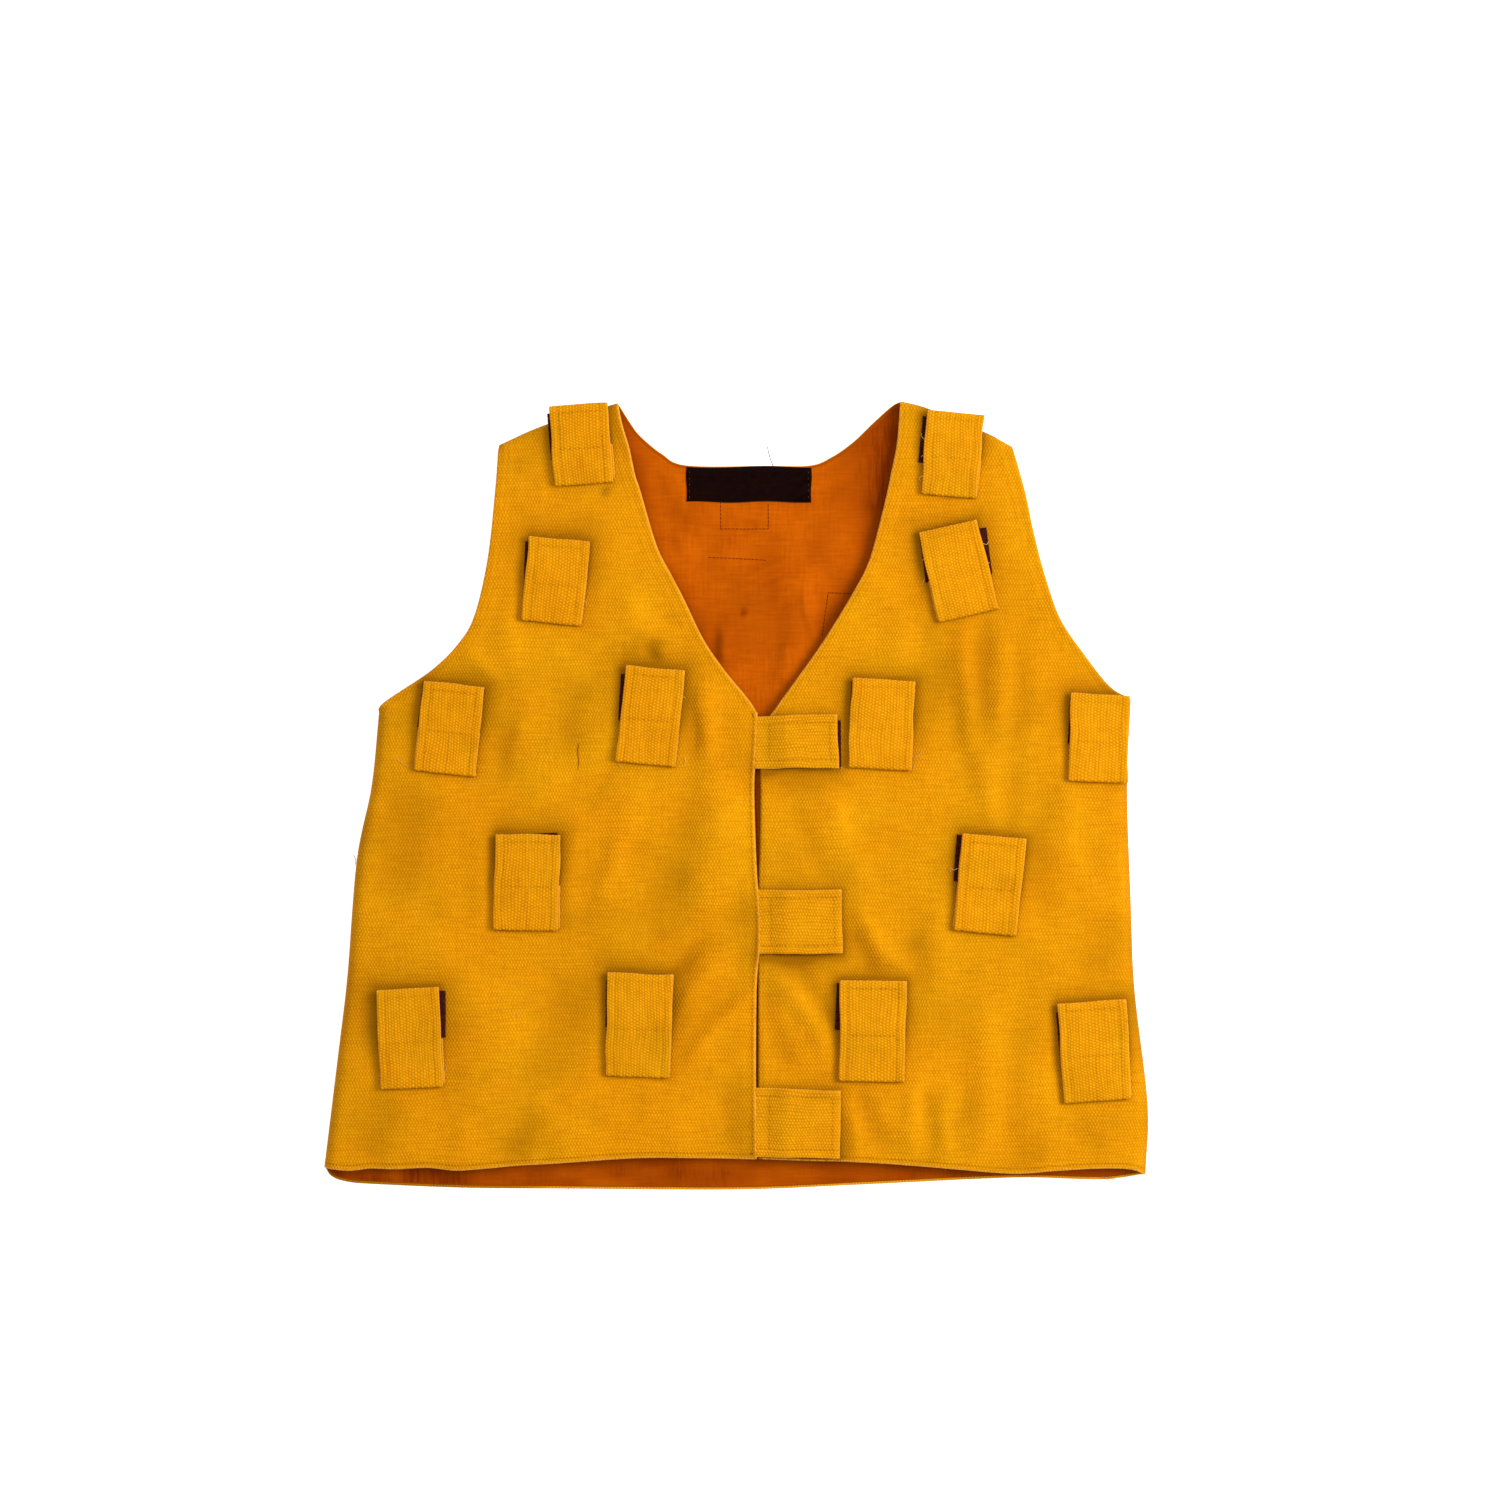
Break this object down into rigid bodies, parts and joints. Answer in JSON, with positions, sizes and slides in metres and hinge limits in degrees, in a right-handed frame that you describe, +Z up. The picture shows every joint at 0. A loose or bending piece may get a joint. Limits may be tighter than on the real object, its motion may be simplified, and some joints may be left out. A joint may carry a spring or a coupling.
{
  "type": "vest",
  "caption": "Child's sleeveless canvas vest lying flat, with an open V neck, hook-and-loop closure tabs down the front, and canvas holding tabs on front and back.",
  "frame": {"origin": "middle of the bottom of the bounding box, on the surface the vest lies on", "axes": "+Z up, away from that surface, out of the vest's front; +Y towards the shoulders; +X to the viewer's right, across the vest"},
  "size_m": [0.4453, 0.4266, 0.019],
  "materials": {
    "canvas": "mustard-yellow heavy cotton canvas, plain weave, matte",
    "tab_canvas": "the same canvas folded double, with pale turned edges and topstitching",
    "lining": "burnt-orange plain-weave cotton lining, matte",
    "loop_tape": "dark maroon loop pile tape",
    "hook_tape": "dark hook tape",
    "label": "plain black woven tape"
  },
  "bodies": {
    "root": {"back_canvas": "canvas", "back_lining": "lining", "left_side_canvas": "canvas", "left_side_lining": "lining", "right_side_canvas": "canvas", "right_side_lining": "lining", "neck_label": "label", "loop_left_1": "loop_tape", "loop_left_2": "loop_tape", "loop_left_3": "loop_tape", "loop_left_5": "loop_tape", "loop_left_6": "loop_tape", "loop_right_1": "loop_tape", "loop_right_2": "loop_tape", "loop_right_4": "loop_tape", "loop_right_5": "loop_tape", "loop_right_7": "loop_tape", "loop_back_1": "loop_tape", "loop_back_2": "loop_tape", "loop_back_3": "loop_tape", "loop_back_4": "loop_tape", "loop_back_5": "loop_tape", "loop_back_6": "loop_tape"},
    "left_flap": {"left_flap_canvas": "canvas", "left_flap_lining": "lining", "loop_left_4": "loop_tape", "loop_left_7": "loop_tape"},
    "right_flap": {"right_flap_canvas": "canvas", "right_flap_lining": "lining", "loop_right_3": "loop_tape", "loop_right_6": "loop_tape", "closure_loop_1": "loop_tape", "closure_loop_2": "loop_tape", "closure_loop_3": "loop_tape"},
    "tab_left_1": {"tab_left_1": "tab_canvas"},
    "tab_left_2": {"tab_left_2": "tab_canvas"},
    "tab_left_3": {"tab_left_3": "tab_canvas"},
    "tab_left_4": {"tab_left_4": "tab_canvas"},
    "tab_left_5": {"tab_left_5": "tab_canvas"},
    "tab_left_6": {"tab_left_6": "tab_canvas"},
    "tab_left_7": {"tab_left_7": "tab_canvas"},
    "tab_right_1": {"tab_right_1": "tab_canvas"},
    "tab_right_2": {"tab_right_2": "tab_canvas"},
    "tab_right_3": {"tab_right_3": "tab_canvas"},
    "tab_right_4": {"tab_right_4": "tab_canvas"},
    "tab_right_5": {"tab_right_5": "tab_canvas"},
    "tab_right_6": {"tab_right_6": "tab_canvas"},
    "tab_right_7": {"tab_right_7": "tab_canvas"},
    "closure_tab_1": {"closure_tab_1": "tab_canvas", "closure_hook_1": "hook_tape"},
    "closure_tab_2": {"closure_tab_2": "tab_canvas", "closure_hook_2": "hook_tape"},
    "closure_tab_3": {"closure_tab_3": "tab_canvas", "closure_hook_3": "hook_tape"},
    "tab_back_1": {"tab_back_1": "tab_canvas"},
    "tab_back_2": {"tab_back_2": "tab_canvas"},
    "tab_back_3": {"tab_back_3": "tab_canvas"},
    "tab_back_4": {"tab_back_4": "tab_canvas"},
    "tab_back_5": {"tab_back_5": "tab_canvas"},
    "tab_back_6": {"tab_back_6": "tab_canvas"}
  },
  "joints": [
    {"name": "left_front_opens", "type": "hinge", "parent": "root", "child": "left_flap", "pos_m": [-0.06965, 0.00625, 0.0145], "axis": [-0.0285, -0.9996, 0], "range_deg": [0, 90]},
    {"name": "right_front_opens", "type": "hinge", "parent": "root", "child": "right_flap", "pos_m": [0.10625, 0.0057, 0.0145], "axis": [-0.0806, 0.9967, 0], "range_deg": [0, 72]},
    {"name": "closure_tab_1_lifts", "type": "hinge", "parent": "left_flap", "child": "closure_tab_1", "pos_m": [0.0135, 0.029, 0.017], "axis": [0.0087, -1, 0], "range_deg": [0, 140]},
    {"name": "closure_tab_2_lifts", "type": "hinge", "parent": "left_flap", "child": "closure_tab_2", "pos_m": [0.0145, -0.068, 0.017], "axis": [0.0087, -1, 0], "range_deg": [0, 140]},
    {"name": "closure_tab_3_lifts", "type": "hinge", "parent": "left_flap", "child": "closure_tab_3", "pos_m": [0.0135, -0.1765, 0.017], "axis": [-0.0087, -1, 0], "range_deg": [0, 140]},
    {"name": "tab_left_1_lifts", "type": "hinge", "parent": "root", "child": "tab_left_1", "pos_m": [-0.08214, 0.1705, 0.017], "axis": [0.9976, 0.0698, 0], "range_deg": [0, 100]},
    {"name": "tab_left_2_lifts", "type": "hinge", "parent": "root", "child": "tab_left_2", "pos_m": [-0.09929, 0.09549, 0.017], "axis": [0.9945, -0.1045, 0], "range_deg": [0, 150]},
    {"name": "tab_left_3_lifts", "type": "hinge", "parent": "root", "child": "tab_left_3", "pos_m": [-0.15629, 0.01449, 0.017], "axis": [0.9945, -0.1045, 0], "range_deg": [0, 150]},
    {"name": "tab_left_4_lifts", "type": "hinge", "parent": "left_flap", "child": "tab_left_4", "pos_m": [-0.04831, 0.01949, 0.017], "axis": [0.9954, -0.0958, 0], "range_deg": [0, 150]},
    {"name": "tab_left_5_lifts", "type": "hinge", "parent": "root", "child": "tab_left_5", "pos_m": [-0.11296, -0.07, 0.017], "axis": [0.9998, -0.0175, 0], "range_deg": [0, 150]},
    {"name": "tab_left_6_lifts", "type": "hinge", "parent": "root", "child": "tab_left_6", "pos_m": [-0.17459, -0.155, 0.017], "axis": [0.999, 0.0436, 0], "range_deg": [0, 150]},
    {"name": "tab_left_7_lifts", "type": "hinge", "parent": "left_flap", "child": "tab_left_7", "pos_m": [-0.05293, -0.149, 0.017], "axis": [0.9994, -0.0349, 0], "range_deg": [0, 150]},
    {"name": "tab_right_1_lifts", "type": "hinge", "parent": "root", "child": "tab_right_1", "pos_m": [0.11517, 0.16399, 0.017], "axis": [0.9962, -0.0872, 0], "range_deg": [0, 150]},
    {"name": "tab_right_2_lifts", "type": "hinge", "parent": "root", "child": "tab_right_2", "pos_m": [0.12455, 0.09945, 0.017], "axis": [0.9744, 0.225, 0], "range_deg": [0, 150]},
    {"name": "tab_right_3_lifts", "type": "hinge", "parent": "right_flap", "child": "tab_right_3", "pos_m": [0.0776, 0.017, 0.017], "axis": [0.9986, -0.0523, 0], "range_deg": [0, 150]},
    {"name": "tab_right_4_lifts", "type": "hinge", "parent": "root", "child": "tab_right_4", "pos_m": [0.19507, 0.01, 0.017], "axis": [0.9994, -0.0349, 0], "range_deg": [0, 150]},
    {"name": "tab_right_5_lifts", "type": "hinge", "parent": "root", "child": "tab_right_5", "pos_m": [0.13419, -0.07151, 0.017], "axis": [0.9954, -0.0958, 0], "range_deg": [0, 150]},
    {"name": "tab_right_6_lifts", "type": "hinge", "parent": "right_flap", "child": "tab_right_6", "pos_m": [0.07304, -0.1515, 0.017], "axis": [0.9998, -0.0175, 0], "range_deg": [0, 120]},
    {"name": "tab_right_7_lifts", "type": "hinge", "parent": "root", "child": "tab_right_7", "pos_m": [0.19486, -0.16201, 0.017], "axis": [0.9976, 0.0698, 0], "range_deg": [0, 150]},
    {"name": "tab_back_1_lifts", "type": "hinge", "parent": "root", "child": "tab_back_1", "pos_m": [0.0045, 0.129, 0.002], "axis": [-1, 0, 0], "range_deg": [0, 150]},
    {"name": "tab_back_2_lifts", "type": "hinge", "parent": "root", "child": "tab_back_2", "pos_m": [0.06131, 0.06198, 0.002], "axis": [-0.9877, 0.1564, 0], "range_deg": [0, 150]},
    {"name": "tab_back_3_lifts", "type": "hinge", "parent": "root", "child": "tab_back_3", "pos_m": [-0.06631, 0.06198, 0.002], "axis": [-0.9877, -0.1564, 0], "range_deg": [0, 150]},
    {"name": "tab_back_4_lifts", "type": "hinge", "parent": "root", "child": "tab_back_4", "pos_m": [0.002, -0.04, 0.002], "axis": [-1, 0, 0], "range_deg": [0, 150]},
    {"name": "tab_back_5_lifts", "type": "hinge", "parent": "root", "child": "tab_back_5", "pos_m": [0.10411, -0.12, 0.002], "axis": [-0.9986, 0.0523, 0], "range_deg": [0, 150]},
    {"name": "tab_back_6_lifts", "type": "hinge", "parent": "root", "child": "tab_back_6", "pos_m": [-0.1101, -0.12, 0.002], "axis": [-0.9986, -0.0523, 0], "range_deg": [0, 150]}
  ],
  "couplings": [
    {"joint": "right_front_opens", "follows": "left_front_opens", "ratio": 0.8}
  ]
}
